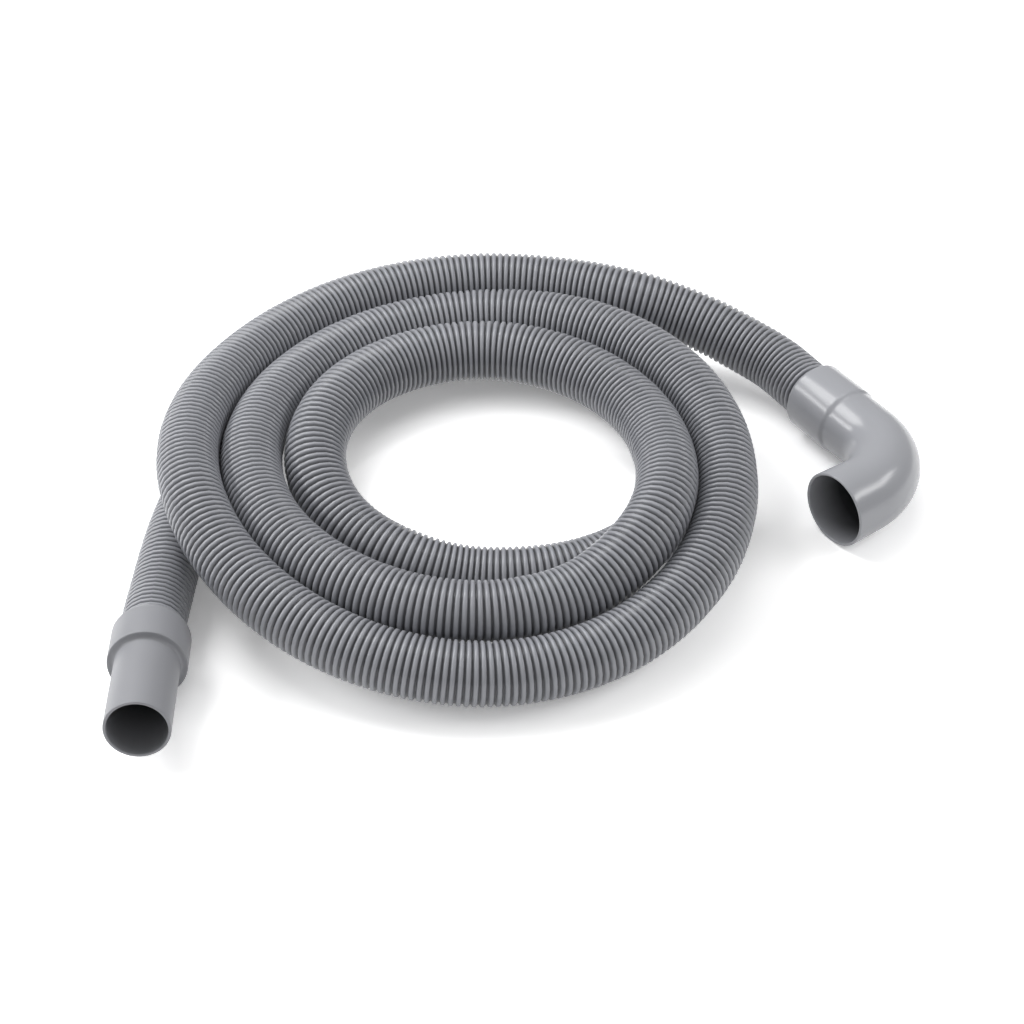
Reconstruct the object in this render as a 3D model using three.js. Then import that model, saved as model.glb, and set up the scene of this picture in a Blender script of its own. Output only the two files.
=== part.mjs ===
// Corrugated drain hose for a washing machine, lying coiled on the floor, with its two end fittings.
// Millimetres, +Z up. The origin is on the floor under the middle of the whole hose's box.
// +X runs from the straight cuff's side of the coil to the elbow's side, +Y away from both open mouths.

import * as THREE from 'three';
import { mergeVertices } from 'three/addons/utils/BufferGeometryUtils.js';

// Hose
const HOSE_OD = 28;            // over the crests of the ribs
const RIB_DEPTH = 1.5;         // the plain tube is drawn half way between crest and groove
const HOSE_SIDES = 12;
const HOSE_STEPS = 80;

// Fit of the hose in its two fittings
const SOCKET_CLEARANCE = 0.3;  // all round the ribs
const SEAT_GAP = 0.3;          // between the hose's cut end and the shoulder that stops it
const LEAD_IN = 10;            // straight hose outside each socket

// Straight cuff
const COLLAR_OD = 34;
const COLLAR_LENGTH = 22.8;
const COLLAR_BACK_OD = 30.6;   // where the collar slopes down to the hose
const COLLAR_SLOPE = 3.4;      // length of that slope
const CUFF_SOCKET_DEPTH = 17;
const SPIGOT_OD = 27.8;
const SPIGOT_LENGTH = 44.4;
const SPIGOT_WALL = 1.3;

// Elbow
const SLEEVE_OD = 33.5;
const SLEEVE_LENGTH = 26.5;
const ELBOW_SOCKET_DEPTH = 21;
const ELBOW_NECK_OD = 31.8;    // between the sleeve and the bend, where the tube begins to swell
const ELBOW_NECK_WALL = 2.6;   // thick enough to leave a shoulder that stops the hose
const ELBOW_MOUTH_OD = 35.8;
const ELBOW_MOUTH_WALL = 1.4;
const STEP_SLOPE = 1.8;        // length of the slope from the sleeve down to the neck
const NECK_LENGTH = 14.2;      // straight, between the sleeve and the bend
const BEND_RADIUS = 33.1;      // of the tube's middle line
const BEND_DEGREES = 85.7;
const LEG_LENGTH = 16.9;       // straight, from the bend to the mouth
const BEND_STEPS = 12;

const EDGE = 0.6;              // small chamfer that breaks the moulded edges
const ROUND_SIDES = 48;

// Where the two fittings lie. A heading is the way the fitting's axis runs, out of the hose.
const COIL_MIDDLE = [-25.7, 5.7];
const CUFF_BACK = [-136.5, -97];
const CUFF_HEADING = -88.4;
const CUFF_TILT = 5.7;         // the stiff hose lifts the cuff's mouth
const ELBOW_BACK = [161.2, 75.1];
const ELBOW_HEADING = -57.4;

// Coil, seen from above, as degrees round the coil's middle against the hose's radius from it.
// The turns run inwards, three of them, and the last one dips under the coil and comes out at the cuff.
const TURN_RADII = [
  [60, 149.5], [75, 144], [90, 141], [120, 136], [150, 131], [180, 129], [240, 126], [285, 123.5],
  [330, 118], [360, 112.5], [420, 109.5], [450, 108], [510, 102.5], [540, 101], [600, 98], [645, 96.5],
  [690, 92.5], [720, 84], [780, 76], [840, 73.5], [900, 72.5], [930, 68], [960, 61], [990, 57],
  [1020, 64], [1050, 78], [1080, 91], [1110, 99], [1140, 111], [1170, 121], [1200, 120.5], [1230, 118],
];
// Height of the hose's middle line. On the floor it is half the hose's diameter, and where the
// turns lie on the hidden one beneath them it is about three times that.
const TURN_HEIGHTS = [
  [60, 38], [90, 40], [140, 39.5], [175, 42.5], [195, 42.5], [210, 37.5], [240, 26], [270, 18],
  [300, 18.5], [330, 27], [360, 35.5], [390, 40.5], [420, 42.5], [450, 40], [500, 38], [540, 38],
  [570, 35.5], [600, 31.5], [630, 28], [660, 29], [680, 37], [700, 42], [740, 41.5], [800, 44.5],
  [840, 44], [870, 42.5], [900, 37], [930, 27.5], [960, 20.5], [985, 14.5], [1005, 14], [1230, 14],
];
const TURN_STEP = 15;          // degrees between the points of a turn

// Hand-chosen points of the two stretches that aren't coiled, from the coil's middle, floor at z 0
const ARM_POINTS = [[145.8, 97.4, 20], [131, 109.2, 23], [114, 118.7, 28], [94.4, 125.8, 33]];
const STUB_POINTS = [[-124, 21, 14], [-131, -11, 14], [-134.2, -38, 14], [-135.9, -66, 14.2]];

const radians = THREE.MathUtils.degToRad;

// A smooth curve through [angle, value] pairs, each with the slope of its two neighbours
function smoothValue(pairs, angle) {
  const last = pairs.length - 1;
  const slope = (i) => {
    const before = pairs[Math.max(i - 1, 0)];
    const after = pairs[Math.min(i + 1, last)];
    return (after[1] - before[1]) / (after[0] - before[0]);
  };
  let i = 0;
  while (i < last - 1 && angle >= pairs[i + 1][0]) i += 1;
  const span = pairs[i + 1][0] - pairs[i][0];
  const t = (angle - pairs[i][0]) / span;
  const ease = t * t * (3 - 2 * t);
  const rise = t * (1 - t) * (1 - t) * slope(i) - t * t * (1 - t) * slope(i + 1);
  return pairs[i][1] + ease * (pairs[i + 1][1] - pairs[i][1]) + rise * span;
}

function coilPoints() {
  const first = TURN_RADII[0][0];
  const last = TURN_RADII[TURN_RADII.length - 1][0];
  const points = [];
  for (let angle = first; angle <= last; angle += TURN_STEP) {
    const radius = smoothValue(TURN_RADII, angle);
    const height = smoothValue(TURN_HEIGHTS, angle);
    const turn = radians(angle);
    points.push(new THREE.Vector3(radius * Math.cos(turn), radius * Math.sin(turn), height));
  }
  return points;
}

// The turn that carries a piece from along +X to its heading, with its far end lifted by the tilt
function layAlong(heading, tilt) {
  return new THREE.Euler(0, -radians(tilt), radians(heading), 'ZYX');
}

// A point on a fitting's axis, a distance along it from the middle of its back edge
function onAxis(fitting, distance) {
  const along = new THREE.Vector3(distance, 0, 0).applyEuler(layAlong(fitting.heading, fitting.tilt));
  return along.add(new THREE.Vector3(fitting.back[0], fitting.back[1], fitting.height));
}

// The tilted cuff rests on its collar's widest rim, and the elbow on the widest point of its mouth
const COLLAR_RIM_RISE = COLLAR_SLOPE * Math.sin(radians(CUFF_TILT));
const CUFF_HEIGHT = (COLLAR_OD / 2) * Math.cos(radians(CUFF_TILT)) - COLLAR_RIM_RISE;
const ELBOW_HEIGHT = ELBOW_MOUTH_OD / 2;
const CUFF_PLACE = { back: CUFF_BACK, heading: CUFF_HEADING, tilt: CUFF_TILT, height: CUFF_HEIGHT };
const ELBOW_PLACE = { back: ELBOW_BACK, heading: ELBOW_HEADING, tilt: 0, height: ELBOW_HEIGHT };

// The hose's middle line, from the elbow's socket round the coil to the cuff's socket
function hosePath() {
  const elbowPoint = (distance) => onAxis(ELBOW_PLACE, distance);
  const cuffPoint = (distance) => onAxis(CUFF_PLACE, distance);
  const elbowSeat = ELBOW_SOCKET_DEPTH - SEAT_GAP;
  const cuffSeat = CUFF_SOCKET_DEPTH - SEAT_GAP;
  const points = [
    elbowPoint(elbowSeat), elbowPoint(elbowSeat / 2), elbowPoint(0), elbowPoint(-LEAD_IN),
    ...ARM_POINTS.map((p) => new THREE.Vector3(...p)),
    ...coilPoints(),
    ...STUB_POINTS.map((p) => new THREE.Vector3(...p)),
    cuffPoint(-LEAD_IN), cuffPoint(0), cuffPoint(cuffSeat / 2), cuffPoint(cuffSeat),
  ];
  return new THREE.CatmullRomCurve3(points, false, 'centripetal');
}

function hoseGeometry() {
  const radius = (HOSE_OD - RIB_DEPTH) / 2;
  const section = new THREE.Shape();
  for (let side = 0; side < HOSE_SIDES; side += 1) {
    const turn = (2 * Math.PI * side) / HOSE_SIDES;
    const corner = [radius * Math.cos(turn), radius * Math.sin(turn)];
    if (side === 0) section.moveTo(...corner);
    else section.lineTo(...corner);
  }
  return new THREE.ExtrudeGeometry(section, { steps: HOSE_STEPS, extrudePath: hosePath() });
}

// One closed turned wall from its [distance, radius] outline, turned about X and starting at x 0
function turnedWall(outline) {
  const profile = [...outline, outline[0]].map(([distance, radius]) => new THREE.Vector2(radius, distance));
  const geometry = new THREE.LatheGeometry(profile, ROUND_SIDES);
  geometry.rotateZ(-Math.PI / 2);
  geometry.deleteAttribute('normal');
  geometry.deleteAttribute('uv');
  return mergeVertices(geometry, 1e-4);
}

function cuffGeometry() {
  const length = COLLAR_LENGTH + SPIGOT_LENGTH;
  const collar = COLLAR_OD / 2;
  const spigot = SPIGOT_OD / 2;
  const socket = HOSE_OD / 2 + SOCKET_CLEARANCE;
  const bore = spigot - SPIGOT_WALL;
  return turnedWall([
    [0, socket + EDGE], [0, COLLAR_BACK_OD / 2], [COLLAR_SLOPE, collar],
    [COLLAR_LENGTH - EDGE, collar], [COLLAR_LENGTH, collar - EDGE], [COLLAR_LENGTH, spigot],
    [length, spigot], [length, bore],
    [CUFF_SOCKET_DEPTH, bore], [CUFF_SOCKET_DEPTH, socket], [EDGE, socket],
  ]);
}

const BEND_START = SLEEVE_LENGTH + NECK_LENGTH;
const BEND_LENGTH = radians(BEND_DEGREES) * BEND_RADIUS;
const ELBOW_LENGTH = BEND_START + BEND_LENGTH + LEG_LENGTH;

// From the start of the bend to the mouth the elbow swells evenly, and its wall gets thinner
function swell(distance) {
  return Math.max(distance - BEND_START, 0) / (ELBOW_LENGTH - BEND_START);
}

function elbowRadius(distance) {
  return THREE.MathUtils.lerp(ELBOW_NECK_OD, ELBOW_MOUTH_OD, swell(distance)) / 2;
}

function elbowBore(distance) {
  return elbowRadius(distance) - THREE.MathUtils.lerp(ELBOW_NECK_WALL, ELBOW_MOUTH_WALL, swell(distance));
}

// Distances along the elbow where its bend needs an edge
function bendDistances() {
  return Array.from({ length: BEND_STEPS + 1 }, (_, i) => BEND_START + (BEND_LENGTH * i) / BEND_STEPS);
}

function elbowOutline() {
  const sleeve = SLEEVE_OD / 2;
  const socket = HOSE_OD / 2 + SOCKET_CLEARANCE;
  const outside = bendDistances().map((d) => [d, elbowRadius(d)]);
  const inside = bendDistances().reverse().map((d) => [d, elbowBore(d)]);
  return [
    [0, socket + EDGE], [0, sleeve - EDGE], [EDGE, sleeve],
    [SLEEVE_LENGTH - STEP_SLOPE, sleeve], [SLEEVE_LENGTH, elbowRadius(SLEEVE_LENGTH)],
    ...outside,
    [ELBOW_LENGTH, elbowRadius(ELBOW_LENGTH)], [ELBOW_LENGTH, elbowBore(ELBOW_LENGTH)],
    ...inside,
    [ELBOW_SOCKET_DEPTH, elbowBore(ELBOW_SOCKET_DEPTH)],
    [ELBOW_SOCKET_DEPTH, socket], [EDGE, socket],
  ];
}

// Carries a straight wall that runs along X round the elbow's bend, which turns towards -Y
function bendWall(geometry) {
  const position = geometry.getAttribute('position');
  for (let i = 0; i < position.count; i += 1) {
    const along = position.getX(i);
    const side = position.getY(i);
    const past = THREE.MathUtils.clamp(along - BEND_START, 0, BEND_LENGTH);
    const turn = past / BEND_RADIUS;
    const rest = along - past;
    const lead = Math.min(rest, BEND_START);
    const tail = rest - lead;
    const reach = BEND_RADIUS + side;
    const x = lead + reach * Math.sin(turn) + tail * Math.cos(turn);
    const y = reach * Math.cos(turn) - BEND_RADIUS - tail * Math.sin(turn);
    position.setXY(i, x, y);
  }
  return geometry;
}

function plastic(colour, roughness) {
  return new THREE.MeshStandardMaterial({ color: colour, roughness, metalness: 0 });
}

function fittingMesh(name, geometry, material, place) {
  const mesh = new THREE.Mesh(geometry, material);
  mesh.name = name;
  mesh.position.copy(onAxis(place, 0));
  mesh.rotation.copy(layAlong(place.heading, place.tilt));
  return mesh;
}

const hose = new THREE.Mesh(hoseGeometry(), plastic(0x86888c, 0.45));
hose.name = 'corrugated_hose';
const cuff = fittingMesh('straight_cuff', cuffGeometry(), plastic(0x9b9da1, 0.5), CUFF_PLACE);
const elbowWall = bendWall(turnedWall(elbowOutline()));
const elbow = fittingMesh('elbow', elbowWall, plastic(0xa9abaf, 0.35), ELBOW_PLACE);

const drainHose = new THREE.Group();
drainHose.position.set(COIL_MIDDLE[0], COIL_MIDDLE[1], 0);
drainHose.add(hose, cuff, elbow);

export default drainHose;
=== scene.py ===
# %% [markdown]
# A coiled drain hose for a washing machine, dressed in Blender
#
# The real thing has three pieces. One long ribbed hose is blown from soft plastic, and a stiff fitting is
# pushed on each of its ends: a straight cuff with a wide collar, and an elbow that turns back on itself.
# The solids that carry them are already packed, in metres, +Z up. This lesson gives each piece its true
# surface: every rib of the hose, and the rounded edges of the two fittings.

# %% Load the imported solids
import bpy
import math
import numpy as np
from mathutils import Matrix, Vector


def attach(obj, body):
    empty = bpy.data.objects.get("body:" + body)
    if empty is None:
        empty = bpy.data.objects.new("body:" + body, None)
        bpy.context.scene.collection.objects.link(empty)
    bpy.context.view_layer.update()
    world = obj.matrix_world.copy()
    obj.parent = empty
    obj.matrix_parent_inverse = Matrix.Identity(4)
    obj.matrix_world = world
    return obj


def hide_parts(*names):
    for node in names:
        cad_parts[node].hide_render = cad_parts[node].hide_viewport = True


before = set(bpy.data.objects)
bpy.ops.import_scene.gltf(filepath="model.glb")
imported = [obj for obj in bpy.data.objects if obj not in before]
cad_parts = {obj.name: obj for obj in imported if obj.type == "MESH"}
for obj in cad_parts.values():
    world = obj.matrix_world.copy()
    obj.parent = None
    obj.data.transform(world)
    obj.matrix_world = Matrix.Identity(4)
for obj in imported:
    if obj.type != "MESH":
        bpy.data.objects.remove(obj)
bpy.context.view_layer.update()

# %% [markdown]
# The camera comes first. It looks along +Y and down
# on the coil from 38 degrees, with a fairly long lens, so the near and far sides differ only a little in
# size. A point and a distance are easier to change than a typed-in camera position, so they drive it.

# %% Camera
AIM = Vector((-0.0092, 0.0132, 0.0))
CAMERA_DISTANCE = 1.160
CAMERA_ELEVATION = math.radians(38.23)
CAMERA_LENS = 88.24


def towards(azimuth, elevation):
    """A unit vector, by degrees-in-radians round +Z from +X and up from the floor."""
    flat = math.cos(elevation)
    return Vector((flat * math.cos(azimuth), flat * math.sin(azimuth), math.sin(elevation)))


def look_at(thing, point):
    thing.rotation_euler = (point - thing.location).to_track_quat("-Z", "Y").to_euler()


camera = bpy.data.objects.new("camera", bpy.data.cameras.new("camera"))
bpy.context.collection.objects.link(camera)
camera.location = AIM + CAMERA_DISTANCE * towards(math.radians(-90), CAMERA_ELEVATION)
look_at(camera, AIM)
camera.data.lens = CAMERA_LENS
camera.data.clip_start = 0.01
bpy.context.scene.camera = camera
print("camera at", tuple(round(value, 4) for value in camera.location))

# %% [markdown]
# The hose's route is the one that its solid follows. The elbow's socket comes first, then a short arm,
# the coil, a stub and the cuff's socket. The coil is easiest to think of seen from above, as a radius and
# a height for each angle round its middle, so two short lists hold it and a loop places the points. The
# last turn dips under the coil and comes out beneath the outer turn, next to the cuff.

# %% Route of the hose, in metres from the coil's middle
COIL_MIDDLE = np.array([-0.0257, 0.0057, 0.0])
CUFF_BACK = (-0.1365, -0.097)
CUFF_HEADING = math.radians(-88.4)
CUFF_TILT = math.radians(5.7)
CUFF_HEIGHT = 0.01658
ELBOW_BACK = (0.1612, 0.0751)
ELBOW_HEADING = math.radians(-57.4)
ELBOW_HEIGHT = 0.0179

TURN_RADII = [
    (60, 0.1495), (75, 0.144), (90, 0.141), (120, 0.136), (150, 0.131), (180, 0.129), (240, 0.126),
    (285, 0.1235), (330, 0.118), (360, 0.1125), (420, 0.1095), (450, 0.108), (510, 0.1025),
    (540, 0.101), (600, 0.098), (645, 0.0965), (690, 0.0925), (720, 0.084), (780, 0.076), (840, 0.0735),
    (900, 0.0725), (930, 0.068), (960, 0.061), (990, 0.057), (1020, 0.064), (1050, 0.078),
    (1080, 0.091), (1110, 0.099), (1140, 0.111), (1170, 0.121), (1200, 0.1205), (1230, 0.118),
]
TURN_HEIGHTS = [
    (60, 0.038), (90, 0.04), (140, 0.0395), (175, 0.0425), (195, 0.0425), (210, 0.0375), (240, 0.026),
    (270, 0.018), (300, 0.0185), (330, 0.027), (360, 0.0355), (390, 0.0405), (420, 0.0425), (450, 0.04),
    (500, 0.038), (540, 0.038), (570, 0.0355), (600, 0.0315), (630, 0.028), (660, 0.029), (680, 0.037),
    (700, 0.042), (740, 0.0415), (800, 0.0445), (840, 0.044), (870, 0.0425), (900, 0.037),
    (930, 0.0275), (960, 0.0205), (985, 0.0145), (1005, 0.014), (1230, 0.014),
]
TURN_STEP = 15
ARM_POINTS = [
    (0.1458, 0.0974, 0.02), (0.131, 0.1092, 0.023), (0.114, 0.1187, 0.028), (0.0944, 0.1258, 0.033),
]
STUB_POINTS = [
    (-0.124, 0.021, 0.014), (-0.131, -0.011, 0.014), (-0.1342, -0.038, 0.014),
    (-0.1359, -0.066, 0.0142),
]
LEAD_IN = 0.010
CUFF_SEAT = 0.0167
ELBOW_SEAT = 0.0207


def smooth_through(stations, values, wanted):
    """A smooth curve through values at stations, read at the wanted stations."""
    stations, values = np.asarray(stations, float), np.asarray(values, float)
    values = values.reshape(len(stations), -1)
    before = np.maximum(np.arange(len(stations)) - 1, 0)
    after = np.minimum(np.arange(len(stations)) + 1, len(stations) - 1)
    slopes = (values[after] - values[before]) / (stations[after] - stations[before])[:, None]
    piece = np.clip(np.searchsorted(stations, wanted, side="right") - 1, 0, len(stations) - 2)
    span = (stations[piece + 1] - stations[piece])[:, None]
    t = (wanted - stations[piece])[:, None] / span
    rise = values[piece + 1] - values[piece]
    bend = t * (1 - t) ** 2 * slopes[piece] - t ** 2 * (1 - t) * slopes[piece + 1]
    return values[piece] + t ** 2 * (3 - 2 * t) * rise + bend * span


def along_axis(heading, tilt=0.0):
    """A unit vector along a fitting's axis, out of the hose; tilt lifts its mouth off the floor."""
    flat = math.cos(tilt)
    return np.array([flat * math.cos(heading), flat * math.sin(heading), math.sin(tilt)])


def coil_points():
    angles = np.arange(TURN_RADII[0][0], TURN_RADII[-1][0] + 1, TURN_STEP, dtype=float)
    radii = smooth_through(*zip(*TURN_RADII), angles)[:, 0]
    heights = smooth_through(*zip(*TURN_HEIGHTS), angles)[:, 0]
    turns = np.radians(angles)
    return np.stack([radii * np.cos(turns), radii * np.sin(turns), heights], axis=1)


def route_points():
    elbow_back = np.array([*ELBOW_BACK, ELBOW_HEIGHT])
    elbow_axis = along_axis(ELBOW_HEADING)
    elbow_end = [elbow_back + d * elbow_axis for d in (ELBOW_SEAT, ELBOW_SEAT / 2, 0, -LEAD_IN)]
    cuff_back = np.array([*CUFF_BACK, CUFF_HEIGHT])
    cuff_axis = along_axis(CUFF_HEADING, CUFF_TILT)
    cuff_end = [cuff_back + d * cuff_axis for d in (-LEAD_IN, 0, CUFF_SEAT / 2, CUFF_SEAT)]
    return np.concatenate([elbow_end, ARM_POINTS, coil_points(), STUB_POINTS, cuff_end]) + COIL_MIDDLE


ROUTE = route_points()
print("route points:", len(ROUTE))

# %% [markdown]
# A curve through chosen points keeps small changes of bend at each point, and ribs show them at once. So
# the route is sampled finely, each sample is averaged with its neighbours a few times, and it is measured
# again. The ends are held, because the fittings are there.

# %% A fair middle line, with its length
SAMPLE = 0.002
SMOOTHING_PASSES = 18


def distances(points):
    steps = np.linalg.norm(np.diff(points, axis=0), axis=1)
    return np.concatenate([[0.0], np.cumsum(steps)])


def fair_line(points):
    along = distances(points)
    line = smooth_through(along, points, np.arange(0, along[-1], SAMPLE))
    line = np.concatenate([line, points[-1:]])
    for _ in range(SMOOTHING_PASSES):
        line[1:-1] = (line[:-2] + 2 * line[1:-1] + line[2:]) / 4
    return line


LINE = fair_line(ROUTE)
LINE_STATIONS = distances(LINE)
HOSE_LENGTH = LINE_STATIONS[-1]
LINE_TANGENTS = np.gradient(LINE, LINE_STATIONS, axis=0)
LINE_TANGENTS /= np.linalg.norm(LINE_TANGENTS, axis=1)[:, None]
bends = np.linalg.norm(np.gradient(LINE_TANGENTS, LINE_STATIONS, axis=0), axis=1)
print(f"hose length {HOSE_LENGTH:.3f} m, tightest bend {1000 / bends.max():.0f} mm")

# %% [markdown]
# All three pieces are walls turned round a middle line: the hose's is the coiled route, the cuff's is
# straight and the elbow's has one bend. Blender's Curve bevel or the Screw modifier could each make one of
# them, but not a wall with its own outline on a bent line. So one helper sets a ring of points round the
# line at each step of a closed outline of (distance, radius) pairs, and joins each ring to the next.

# %% Helper: a wall turned round any middle line
UP = np.array([0.0, 0.0, 1.0])


def turned_wall(name, outline, middle_line, sides):
    """outline is a closed loop of (distance, radius); middle_line(distances) gives centres and tangents."""
    outline = np.asarray(outline)
    centres, tangents = middle_line(outline[:, 0])
    across = np.cross(tangents, UP)
    across /= np.linalg.norm(across, axis=1)[:, None]
    upward = np.cross(across, tangents)
    turn = 2 * math.pi * np.arange(sides) / sides
    ring = across[:, None] * np.cos(turn)[None, :, None] + upward[:, None] * np.sin(turn)[None, :, None]
    points = centres[:, None] + outline[:, 1][:, None, None] * ring
    rows = np.arange(len(outline))[:, None]
    columns = np.arange(sides)[None, :]
    next_row = (rows + 1) % len(outline)
    next_column = (columns + 1) % sides
    corners = [rows * sides + columns, rows * sides + next_column]
    corners += [next_row * sides + next_column, next_row * sides + columns]
    faces = np.stack([np.broadcast_to(c, (len(outline), sides)) for c in corners], axis=-1)
    mesh = bpy.data.meshes.new(name)
    mesh.from_pydata(points.reshape(-1, 3).tolist(), [], faces.reshape(-1, 4).tolist())
    mesh.shade_smooth()
    piece = bpy.data.objects.new(name, mesh)
    bpy.context.collection.objects.link(piece)
    print(f"{name}: {2 * len(faces) * sides} triangles")
    return piece


def hose_line(stations):
    centres = smooth_through(LINE_STATIONS, LINE, stations)
    tangents = smooth_through(LINE_STATIONS, LINE_TANGENTS, stations)
    return centres, tangents / np.linalg.norm(tangents, axis=1)[:, None]


# %% [markdown]
# The ribs are what a drain hose looks like, so they are real shape and not bump. Each one takes six rings:
# two at the groove's flat bottom, two half way up, and two where the rounded crest begins and ends. Twenty
# sides round keep the whole hose light, and smooth shading hides the flats. A blown hose isn't perfect, so
# its ribs differ by a few hundredths.

# %% Ribbed hose
HOSE_OD = 0.028
GROOVE_DEPTH = 0.0012
RIB_PITCH = 0.00302
RIB_OUTLINE = [(0.09, 1.0), (0.2, 0.4), (0.32, 0.0), (0.68, 0.0), (0.8, 0.4), (0.91, 1.0)]
HOSE_BORE = 0.0224
BORE_STEP = 0.012
HOSE_SIDES = 20
RIB_UNEVENNESS = 0.00003
RIB_SEED = 7


def hose_outline():
    """(distance, radius) pairs: every rib along the outside, and a plain bore on the way back."""
    ribs = int(HOSE_LENGTH / RIB_PITCH)
    pitch = HOSE_LENGTH / ribs
    uneven = np.random.default_rng(RIB_SEED).normal(0.0, RIB_UNEVENNESS, ribs)
    outside = []
    for rib in range(ribs):
        for share, depth in RIB_OUTLINE:
            radius = HOSE_OD / 2 - depth * GROOVE_DEPTH + uneven[rib] * (1 - depth)
            outside.append(((rib + share) * pitch, radius))
    outside.append((HOSE_LENGTH, HOSE_OD / 2 - GROOVE_DEPTH))
    inside = [(station, HOSE_BORE / 2) for station in np.arange(HOSE_LENGTH, 0, -BORE_STEP)]
    print("ribs:", ribs, "pitch in mm:", round(1000 * pitch, 3))
    return outside + inside + [(0.0, HOSE_BORE / 2)]


HOSE_OUTLINE = hose_outline()
hose = turned_wall("ribbed_hose", HOSE_OUTLINE, hose_line, HOSE_SIDES)

# %% [markdown]
# The finish needs to know where the grooves are, because their shade is painted into the colour. So each
# point keeps how deep it lies, from 0 on a crest to 1 at the bottom of a groove, as an attribute of the mesh.
# The two fittings use the same helper later, for the painted shade inside their walls.

# %% Helper: a share from 0 to 1, kept on the mesh
def keep_share(piece, shares, sides):
    """shares has one value for each ring of the outline: how much of the painted shade it gets."""
    attribute = piece.data.attributes.new("shaded", "FLOAT", "POINT")
    attribute.data.foreach_set("value", np.repeat(shares, sides).astype(np.float32))


groove_depths = (HOSE_OD / 2 - np.asarray(HOSE_OUTLINE)[:, 1]) / GROOVE_DEPTH
keep_share(hose, np.clip(groove_depths, 0, 1), HOSE_SIDES)
print("rings in grooves:", int((groove_depths > 0.5).sum()))

# %% [markdown]
# A moulded fitting has no knife edges: each corner of its outline is rounded by the mould. The Bevel
# modifier could do that, but here every corner wants its own radius, so a helper takes a list of corners
# with radii and puts a short arc in place of each.

# %% Helper: an outline with rounded corners
ARC_STEPS = 6
MOST_OF_A_SIDE = 0.49


def rounded(corners):
    """corners are (distance, radius, fillet); gives the closed outline with an arc at each fillet."""
    outline = []
    for i, (x, y, fillet) in enumerate(corners):
        here = np.array([x, y])
        before = np.array(corners[i - 1][:2]) - here
        after = np.array(corners[(i + 1) % len(corners)][:2]) - here
        before_length, after_length = np.linalg.norm(before), np.linalg.norm(after)
        if fillet == 0:
            outline.append((x, y))
            continue
        before, after = before / before_length, after / after_length
        half = math.acos(np.clip(before @ after, -1, 1)) / 2
        room = MOST_OF_A_SIDE * min(before_length, after_length)
        reach = min(fillet / math.tan(half), room)
        start, end = here + reach * before, here + reach * after
        for step in range(ARC_STEPS + 1):
            t = step / ARC_STEPS
            point = (1 - t) ** 2 * start + 2 * t * (1 - t) * here + t ** 2 * end
            outline.append(tuple(point))
    return outline


# %% [markdown]
# The cuff is turned on a straight line. Its collar swallows the hose's end: the back edge slopes down to
# the ribs, and the front edge drops to the thinner spigot with a wide round at its foot. The mouth's edge
# is rounded, so that it slides into a rubber sleeve. The stiff hose lifts the mouth a few degrees, so only
# the back of the collar touches the floor.

# %% Straight cuff
COLLAR_OD = 0.034
COLLAR_LENGTH = 0.0228
COLLAR_BACK_OD = 0.0306
COLLAR_SLOPE = 0.0034
CUFF_SOCKET_DEPTH = 0.017
SOCKET_CLEARANCE = 0.0003
SPIGOT_OD = 0.0278
SPIGOT_LENGTH = 0.0444
SPIGOT_WALL = 0.0013
SPIGOT_FOOT = 0.0022
SPIGOT_FOOT_END = 0.006
COLLAR_BACK_EDGE = 0.0004
COLLAR_SHOULDER = 0.003
COLLAR_FRONT_EDGE = 0.0007
SPIGOT_EDGE = 0.0006
SOCKET_FLARE = 0.0002
SOCKET_LIP = 0.001
SOCKET_LIP_ROUND = 0.0004
SEAT_ROUND = 0.0003
MOUTH_STRAIGHT = 0.004
FITTING_SIDES = 96
BORE_FADE = 0.018


def cuff_line(stations):
    axis = along_axis(CUFF_HEADING, CUFF_TILT)
    start = np.array([*CUFF_BACK, CUFF_HEIGHT]) + COIL_MIDDLE
    return start + stations[:, None] * axis, np.tile(axis, (len(stations), 1))


def cuff_corners():
    collar, spigot, mouth = COLLAR_OD / 2, SPIGOT_OD / 2, COLLAR_LENGTH + SPIGOT_LENGTH
    socket, bore = HOSE_OD / 2 + SOCKET_CLEARANCE, SPIGOT_OD / 2 - SPIGOT_WALL
    return [
        (0, socket + SOCKET_FLARE, SOCKET_FLARE), (0, COLLAR_BACK_OD / 2, COLLAR_BACK_EDGE),
        (COLLAR_SLOPE, collar, COLLAR_SHOULDER), (COLLAR_LENGTH, collar, COLLAR_FRONT_EDGE),
        (COLLAR_LENGTH, spigot, SPIGOT_FOOT), (COLLAR_LENGTH + SPIGOT_FOOT_END, spigot, 0),
        (mouth - MOUTH_STRAIGHT, spigot, 0), (mouth, spigot, SPIGOT_EDGE), (mouth, bore, SPIGOT_EDGE),
        (mouth - MOUTH_STRAIGHT, bore, 0), (CUFF_SOCKET_DEPTH, bore, SEAT_ROUND),
        (CUFF_SOCKET_DEPTH, socket, SEAT_ROUND), (SOCKET_LIP, socket, SOCKET_LIP_ROUND),
    ]


def inside_shares(outline):
    """Painted shade inside the bore: 0 outside, and from the mouth's rim inwards a rise to 1."""
    stations = np.asarray(outline)[:, 0]
    within = np.arange(len(stations)) > stations.argmax()
    return within * np.clip((stations.max() - stations) / BORE_FADE, 0, 1)


CUFF_OUTLINE = rounded(cuff_corners())
cuff = turned_wall("cuff", CUFF_OUTLINE, cuff_line, FITTING_SIDES)
keep_share(cuff, inside_shares(CUFF_OUTLINE), FITTING_SIDES)

# %% [markdown]
# The elbow is the same kind of wall on a line with one bend. Its sleeve takes the hose and slopes down in a
# soft step to a slightly thinner neck, and from there the wall swells evenly round the bend to the mouth,
# where it is thinnest. The bend gets many rings so that its highlight runs smoothly.

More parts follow.
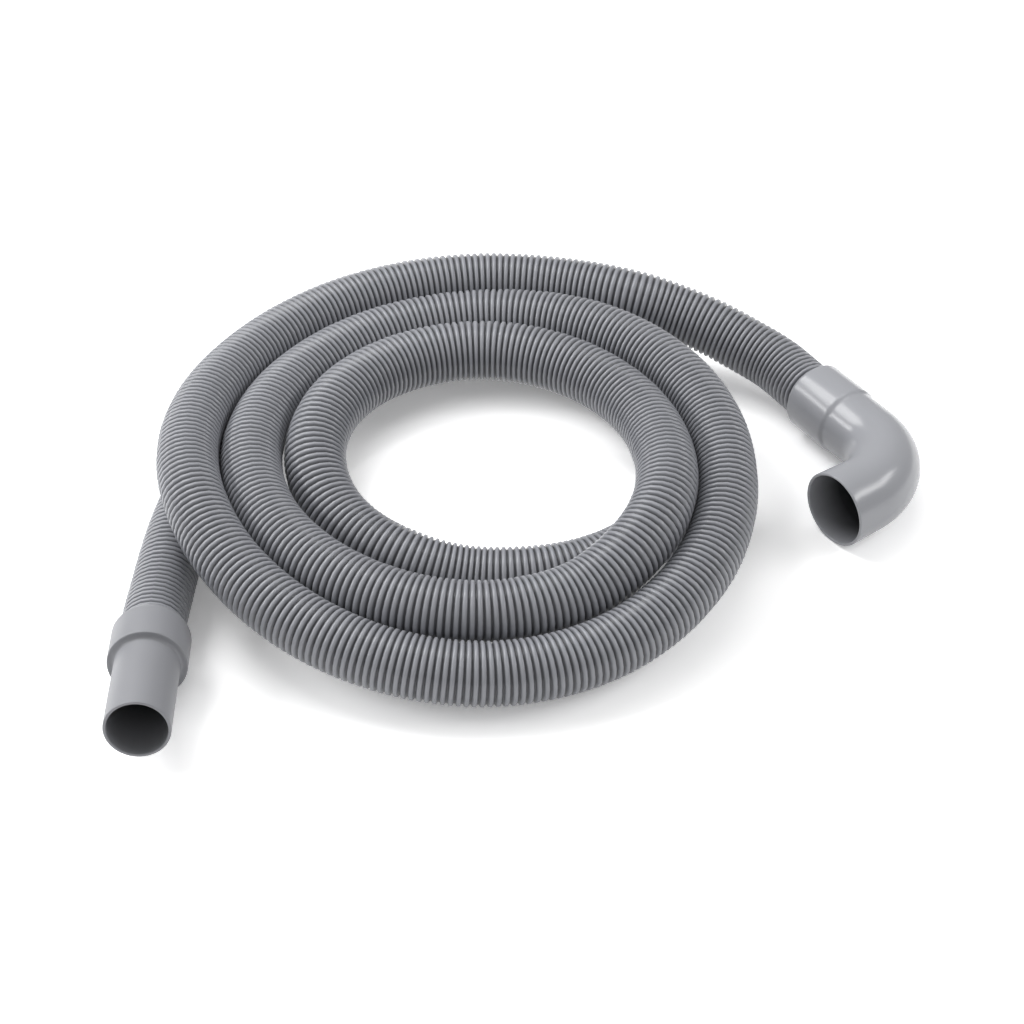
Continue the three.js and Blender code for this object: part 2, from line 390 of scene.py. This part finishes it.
# %% Elbow
SLEEVE_OD = 0.0335
SLEEVE_LENGTH = 0.0265
ELBOW_SOCKET_DEPTH = 0.021
ELBOW_NECK_OD = 0.0318
ELBOW_NECK_WALL = 0.0026
ELBOW_MOUTH_OD = 0.0358
ELBOW_MOUTH_WALL = 0.0014
STEP_SLOPE = 0.0018
STEP_FILLET = 0.006
SLEEVE_EDGE = 0.0009
ELBOW_MOUTH_EDGE = 0.0007
NECK_LENGTH = 0.0142
BEND_RADIUS = 0.0331
BEND_ANGLE = math.radians(85.7)
LEG_LENGTH = 0.0169
BEND_RINGS = 60
BEND_START = SLEEVE_LENGTH + NECK_LENGTH
BEND_LENGTH = BEND_ANGLE * BEND_RADIUS
ELBOW_LENGTH = BEND_START + BEND_LENGTH + LEG_LENGTH


def elbow_line(stations):
    """Straight, then round the bend towards the right of its way, then straight again."""
    past = np.clip(stations - BEND_START, 0, BEND_LENGTH)
    turn = past / BEND_RADIUS
    lead = np.minimum(stations, BEND_START)
    tail = np.maximum(stations - BEND_START - BEND_LENGTH, 0)
    forward = lead + BEND_RADIUS * np.sin(turn) + tail * np.cos(turn)
    sideways = BEND_RADIUS * (np.cos(turn) - 1) - tail * np.sin(turn)
    c, s = math.cos(ELBOW_HEADING), math.sin(ELBOW_HEADING)
    start = np.array([*ELBOW_BACK, ELBOW_HEIGHT]) + COIL_MIDDLE
    flat = np.zeros(len(stations))
    centres = start + np.stack([forward * c - sideways * s, forward * s + sideways * c, flat], axis=1)
    heading = ELBOW_HEADING - turn
    return centres, np.stack([np.cos(heading), np.sin(heading), flat], axis=1)


def swell(station):
    """How far the wall has swollen, from 0 along the neck to 1 at the mouth."""
    return max(station - BEND_START, 0) / (ELBOW_LENGTH - BEND_START)


def elbow_radius(station):
    return (ELBOW_NECK_OD + swell(station) * (ELBOW_MOUTH_OD - ELBOW_NECK_OD)) / 2


def elbow_bore(station):
    wall = ELBOW_NECK_WALL + swell(station) * (ELBOW_MOUTH_WALL - ELBOW_NECK_WALL)
    return elbow_radius(station) - wall


def elbow_corners():
    sleeve, neck, socket = SLEEVE_OD / 2, ELBOW_NECK_OD / 2, HOSE_OD / 2 + SOCKET_CLEARANCE
    bend = np.linspace(BEND_START, BEND_START + BEND_LENGTH, BEND_RINGS)
    near_mouth = ELBOW_LENGTH - MOUTH_STRAIGHT
    return [
        (0, socket + SOCKET_FLARE, SOCKET_FLARE), (0, sleeve, SLEEVE_EDGE),
        (SLEEVE_LENGTH - STEP_SLOPE, sleeve, STEP_FILLET), (SLEEVE_LENGTH, neck, STEP_FILLET),
        *[(d, elbow_radius(d), 0) for d in bend],
        (near_mouth, elbow_radius(near_mouth), 0),
        (ELBOW_LENGTH, elbow_radius(ELBOW_LENGTH), ELBOW_MOUTH_EDGE),
        (ELBOW_LENGTH, elbow_bore(ELBOW_LENGTH), ELBOW_MOUTH_EDGE), (near_mouth, elbow_bore(near_mouth), 0),
        *[(d, elbow_bore(d), 0) for d in bend[::-1]], (ELBOW_SOCKET_DEPTH, elbow_bore(0), SEAT_ROUND),
        (ELBOW_SOCKET_DEPTH, socket, SEAT_ROUND), (SOCKET_LIP, socket, SOCKET_LIP_ROUND),
    ]


ELBOW_OUTLINE = rounded(elbow_corners())
elbow = turned_wall("elbow_fitting", ELBOW_OUTLINE, elbow_line, FITTING_SIDES)
keep_share(elbow, inside_shares(ELBOW_OUTLINE), FITTING_SIDES)

# %% [markdown]
# All the surfaces are plain grey plastic, so their finish is in small things: a faint cloudiness of the
# colour, a gloss that differs from place to place, and a skin that isn't quite flat. One helper makes such
# a plastic, and also mixes in a painted shade where the mesh asks for it. Noise is read in object
# coordinates, in metres, so its grain is real-sized.

# %% Helper: a moulded plastic
CLOUD_SCALE = 35
CLOUD_DETAIL = 2
GRAIN_DETAIL = 3
GRAIN_HEIGHT = 0.0002


def plastic(name, colour, shade, roughness, cloud, grain, bump):
    """Colours are linear; shade is the painted shade's colour; cloud is how much colour varies; grain is the
    bump's, in features a metre.
    """
    material = bpy.data.materials.new(name)
    material.use_nodes = True
    nodes, links = material.node_tree.nodes, material.node_tree.links
    shader = nodes["Principled BSDF"]
    place = nodes.new("ShaderNodeTexCoord")
    clouds = nodes.new("ShaderNodeTexNoise")
    clouds.inputs["Scale"].default_value = CLOUD_SCALE
    clouds.inputs["Detail"].default_value = CLOUD_DETAIL
    links.new(place.outputs["Object"], clouds.inputs["Vector"])
    tint = nodes.new("ShaderNodeMix")
    tint.data_type = "RGBA"
    tint.inputs["A"].default_value = [c * (1 - cloud) for c in colour] + [1]
    tint.inputs["B"].default_value = [c * (1 + cloud) for c in colour] + [1]
    links.new(clouds.outputs["Fac"], tint.inputs["Factor"])
    # painted shade: the mesh's 'shaded' attribute mixes the shade colour into the grooves and bores
    shaded = nodes.new("ShaderNodeAttribute")
    shaded.attribute_name = "shaded"
    mix = nodes.new("ShaderNodeMix")
    mix.data_type = "RGBA"
    mix.inputs["B"].default_value = [*shade, 1]
    links.new(shaded.outputs["Fac"], mix.inputs["Factor"])
    links.new(tint.outputs["Result"], mix.inputs["A"])
    links.new(mix.outputs["Result"], shader.inputs["Base Color"])
    gloss = nodes.new("ShaderNodeMapRange")
    gloss.inputs["To Min"].default_value, gloss.inputs["To Max"].default_value = roughness
    links.new(clouds.outputs["Fac"], gloss.inputs["Value"])
    links.new(gloss.outputs["Result"], shader.inputs["Roughness"])
    fine = nodes.new("ShaderNodeTexNoise")
    fine.inputs["Scale"].default_value = grain
    fine.inputs["Detail"].default_value = GRAIN_DETAIL
    links.new(place.outputs["Object"], fine.inputs["Vector"])
    relief = nodes.new("ShaderNodeBump")
    relief.inputs["Strength"].default_value = bump
    relief.inputs["Distance"].default_value = GRAIN_HEIGHT
    links.new(fine.outputs["Fac"], relief.inputs["Height"])
    links.new(relief.outputs["Normal"], shader.inputs["Normal"])
    return material


# %% [markdown]
# The elbow is the lightest and the glossiest of the three. The cuff is darker and satin, and so is the
# hose, whose grooves are painted darker again, as shade. Inside the two fittings the grey falls away to a
# dark one over the first centimetres, a painted shade like that in a tube that goes on into a hose.

# %% Finishes
HOSE_GREY = (0.315, 0.322, 0.35)
# painted shade: the dark colour in the grooves stands in for the shade that falls into them
GROOVE_SHADE_GREY = (0.075, 0.077, 0.084)
CUFF_GREY = (0.284, 0.288, 0.308)
ELBOW_GREY = (0.36, 0.366, 0.391)
# painted shade: the dark colour deep in the fittings' bores stands in for the shade in there
BORE_SHADE_GREY = (0.06, 0.061, 0.066)

hose_plastic = plastic("hose_plastic", HOSE_GREY, GROOVE_SHADE_GREY, (0.26, 0.36), 0.05, 900, 0.15)
cuff_plastic = plastic("cuff_plastic", CUFF_GREY, BORE_SHADE_GREY, (0.42, 0.5), 0.02, 700, 0.06)
elbow_plastic = plastic("elbow_plastic", ELBOW_GREY, BORE_SHADE_GREY, (0.2, 0.26), 0.02, 500, 0.04)
for piece, material in ((hose, hose_plastic), (cuff, cuff_plastic), (elbow, elbow_plastic)):
    piece.data.materials.append(material)
print("finishes:", [m.name for m in (hose_plastic, cuff_plastic, elbow_plastic)])

# %% [markdown]
# Each new piece stands for one imported solid, which is hidden, and rides on the one body.

for piece, node, slot in (
    (hose, "corrugated_hose", "hose_plastic"),
    (cuff, "straight_cuff", "cuff_plastic"),
    (elbow, "elbow", "elbow_plastic"),
):
    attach(piece, "root")
    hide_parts(node)

print("declared hose of", round(HOSE_LENGTH, 3), "m")

# %% [markdown]
# The hose lies on a white sheet under soft light. The sheet is a plain diffuse white that keeps the soft
# shadows, and it gives a little light of its own to the camera and to reflections only, so that it reads
# as white without more light on the hose. That light is stronger in the middle of the coil, as painted light
# over the shade that the turns all round cast there, which dims the sheet more than in a bright white room.

# %% White floor
FLOOR_SIZE = 8.0
FLOOR_GREY = 0.8
FLOOR_SEEN_GREY = 1.3
FLOOR_GLOW = 0.2
# painted light: the sheet glows brighter to the camera in the middle of the coil, lifting the turns' shade
# there
HOLE_PAINTED_LIGHT = 0.55
HOLE_MIDDLE = (-0.0137, 0.0337, 0.0)
HOLE_RADII = (0.078, 0.050)

floor_mesh = bpy.data.meshes.new("floor")
half = FLOOR_SIZE / 2
floor_corners = [(-half, -half, 0), (half, -half, 0), (half, half, 0), (-half, half, 0)]
floor_mesh.from_pydata(floor_corners, [], [(0, 1, 2, 3)])
floor = bpy.data.objects.new("floor", floor_mesh)
bpy.context.collection.objects.link(floor)


def seen_ray(nodes, links):
    """1 for the rays that see a backdrop: the camera's and those that mirror it."""
    rays = nodes.new("ShaderNodeLightPath")
    either = nodes.new("ShaderNodeMath")
    either.operation = "MAXIMUM"
    links.new(rays.outputs["Is Camera Ray"], either.inputs[0])
    links.new(rays.outputs["Is Glossy Ray"], either.inputs[1])
    return either.outputs["Value"]


def floor_material():
    material = bpy.data.materials.new("floor_white")
    material.use_nodes = True
    nodes, links = material.node_tree.nodes, material.node_tree.links
    nodes.remove(nodes["Principled BSDF"])
    matt = nodes.new("ShaderNodeBsdfDiffuse")
    shade = nodes.new("ShaderNodeMapRange")
    shade.inputs["To Min"].default_value, shade.inputs["To Max"].default_value = FLOOR_GREY, FLOOR_SEEN_GREY
    links.new(seen_ray(nodes, links), shade.inputs["Value"])
    links.new(shade.outputs["Result"], matt.inputs["Color"])
    glow = nodes.new("ShaderNodeEmission")
    place = nodes.new("ShaderNodeTexCoord")
    reach = nodes.new("ShaderNodeVectorMath")
    reach.operation = "DISTANCE"
    reach.inputs[1].default_value = HOLE_MIDDLE
    links.new(place.outputs["Object"], reach.inputs[0])
    # painted light: the extra glow fades out from the middle of the coil over these radii
    spread = nodes.new("ShaderNodeMapRange")
    spread.interpolation_type = "SMOOTHSTEP"
    spread.inputs["From Min"].default_value, spread.inputs["From Max"].default_value = HOLE_RADII
    spread.inputs["To Min"].default_value = FLOOR_GLOW
    spread.inputs["To Max"].default_value = FLOOR_GLOW + HOLE_PAINTED_LIGHT
    links.new(reach.outputs["Value"], spread.inputs["Value"])
    level = nodes.new("ShaderNodeMath")
    level.operation = "MULTIPLY"
    links.new(seen_ray(nodes, links), level.inputs[0])
    links.new(spread.outputs["Result"], level.inputs[1])
    links.new(level.outputs["Value"], glow.inputs["Strength"])
    both = nodes.new("ShaderNodeAddShader")
    links.new(matt.outputs["BSDF"], both.inputs[0])
    links.new(glow.outputs["Emission"], both.inputs[1])
    links.new(both.outputs["Shader"], nodes["Material Output"].inputs["Surface"])
    return material


floor_mesh.materials.append(floor_material())

# %% [markdown]
# Soft boxes light it, and the streaks on the elbow say where they stand: one high at the back left, which
# throws the shadows to the right, one low at the left, and one at the right. Two weak ones, high behind and
# low in front, open the shadows. The world fills the rest evenly, and is plain white to the camera.

# %% Soft light
WORLD_LIGHT = 0.39
SOFT_BOXES = [
    ("key_light", (-0.50, 0.35, 0.79), 1.7, 0.8, 0.75, 14.0),
    ("left_light", (-0.895, 0.066, 0.48), 1.5, 0.9, 0.3, 8.0),
    ("right_light", (0.80, 0.03, 0.59), 1.7, 1.0, 0.24, 7.0),
    ("back_light", (0.0, 0.35, 0.94), 1.7, 0.8, 0.8, 3.5),
    ("front_light", (0.0, -0.75, 0.66), 1.7, 1.6, 0.8, 1.8),
]

for name, direction, distance, width, height, watts in SOFT_BOXES:
    lamp = bpy.data.objects.new(name, bpy.data.lights.new(name, "AREA"))
    bpy.context.collection.objects.link(lamp)
    lamp.location = AIM + distance * Vector(direction).normalized()
    look_at(lamp, AIM)
    lamp.data.shape = "RECTANGLE"
    lamp.data.size, lamp.data.size_y = width, height
    lamp.data.energy = watts


def world_material():
    world = bpy.data.worlds.new("soft_sky")
    world.use_nodes = True
    nodes, links = world.node_tree.nodes, world.node_tree.links
    level = nodes.new("ShaderNodeMapRange")
    level.inputs["To Min"].default_value, level.inputs["To Max"].default_value = WORLD_LIGHT, 1.0
    rays = nodes.new("ShaderNodeLightPath")
    links.new(rays.outputs["Is Camera Ray"], level.inputs["Value"])
    links.new(level.outputs["Result"], nodes["Background"].inputs["Strength"])
    nodes["Background"].inputs["Color"].default_value = (1, 1, 1, 1)
    return world


bpy.context.scene.world = world_material()
bpy.context.scene.view_settings.view_transform = "Standard"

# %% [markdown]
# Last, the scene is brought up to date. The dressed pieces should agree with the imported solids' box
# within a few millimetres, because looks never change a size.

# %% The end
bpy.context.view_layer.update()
